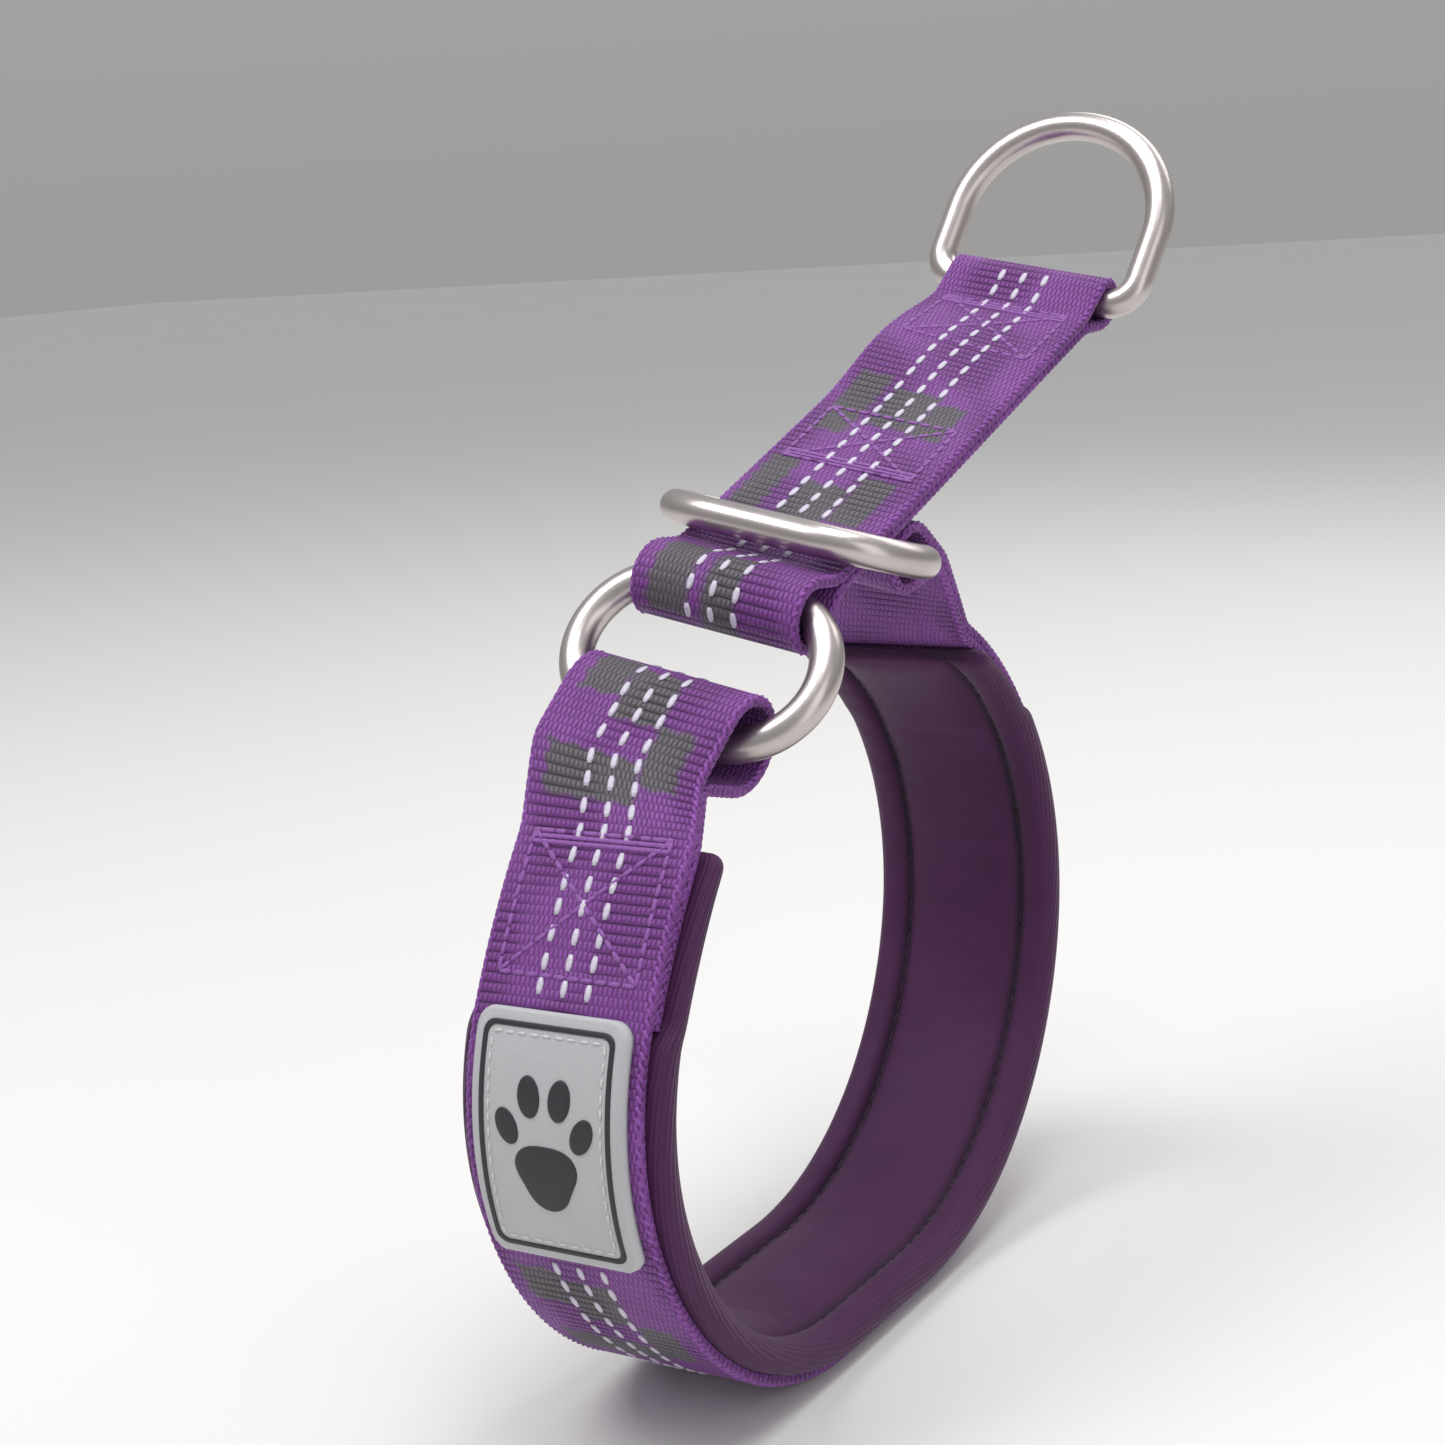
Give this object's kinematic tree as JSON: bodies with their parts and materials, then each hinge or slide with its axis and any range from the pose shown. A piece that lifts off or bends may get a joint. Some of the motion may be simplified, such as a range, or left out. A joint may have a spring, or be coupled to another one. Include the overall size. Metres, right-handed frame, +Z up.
{
  "type": "martingale collar",
  "caption": "Padded webbing neck loop with a limited-slip control strap through an oval ring and a swinging D-ring for a leash.",
  "frame": {"origin": "middle of the webbing's width, on the flat stretch of the neck loop's outer face that the collar stands on", "axes": "+X across the webbing, +Y from the patch at the throat to the nape, +Z up from the surface it stands on"},
  "size_m": [0.0443, 0.1259, 0.1438],
  "materials": {
    "webbing": "ribbed woven nylon, bright purple",
    "foam_cover": "dark purple knit",
    "lining": "smooth dark purple neoprene",
    "edge_binding": "fine ribbed dark purple",
    "seam_thread": "sewing thread",
    "stitching": "purple sewing thread",
    "reflective_thread": "woven reflective thread",
    "patch": "matt light grey reflective sheet",
    "patch_print": "dark print",
    "patch_thread": "white sewing thread",
    "ring_metal": "satin nickel"
  },
  "bodies": {
    "collar_back": {"webbing_back": "webbing", "foam_core_back": "foam_cover", "lining_back": "lining", "edge_binding_back": "edge_binding", "groove_seams_back": "seam_thread", "rear_box_stitch": "stitching", "reflective_threads_back": "reflective_thread"},
    "collar_front": {"webbing_front": "webbing", "foam_core_front": "foam_cover", "lining_front": "lining", "edge_binding_front": "edge_binding", "groove_seams_front": "seam_thread", "front_box_stitch": "stitching", "reflective_threads_front": "reflective_thread", "label_patch": "patch", "patch_border": "patch_print", "paw_emblem": "patch_print", "patch_stitching": "patch_thread"},
    "rear_ring": {"rear_ring": "ring_metal"},
    "control_strap": {"control_strap_upper": "webbing", "control_strap_lower": "webbing", "strap_front_stitch": "stitching", "strap_back_stitch": "stitching", "reflective_threads_strap": "reflective_thread"},
    "front_ring": {"front_ring": "ring_metal"},
    "leash_ring": {"leash_d_ring": "ring_metal"}
  },
  "joints": [
    {"name": "strap_slip", "type": "slide", "parent": "collar_back", "child": "control_strap", "axis": [-0.0966, -0.9188, -0.3827], "range_m": [0, 0.028]},
    {"name": "neck_flex", "type": "hinge", "parent": "collar_back", "child": "collar_front", "pos_m": [0, -0.003, 0], "axis": [0.9947, -0.1028, 0], "range_deg": [0, 22]},
    {"name": "front_ring_tilt", "type": "hinge", "parent": "control_strap", "child": "front_ring", "pos_m": [0.0015, -0.0077, 0.092], "axis": [0.9811, -0.0231, -0.1921], "range_deg": [-4, 1]},
    {"name": "leash_ring_swing", "type": "hinge", "parent": "control_strap", "child": "leash_ring", "pos_m": [0.00874, 0.06121, 0.1207], "axis": [0.9811, -0.0231, -0.1921], "range_deg": [-120, 80]},
    {"name": "rear_ring_rock", "type": "hinge", "parent": "collar_back", "child": "rear_ring", "pos_m": [0.00245, 0.01494, 0.09414], "axis": [0.9811, -0.0231, -0.1921], "range_deg": [-1, 1]}
  ],
  "couplings": [
    {"joint": "neck_flex", "follows": "strap_slip", "rad_per_m": 12.647},
    {"joint": "front_ring_tilt", "follows": "strap_slip", "rad_per_m": -1.973}
  ]
}
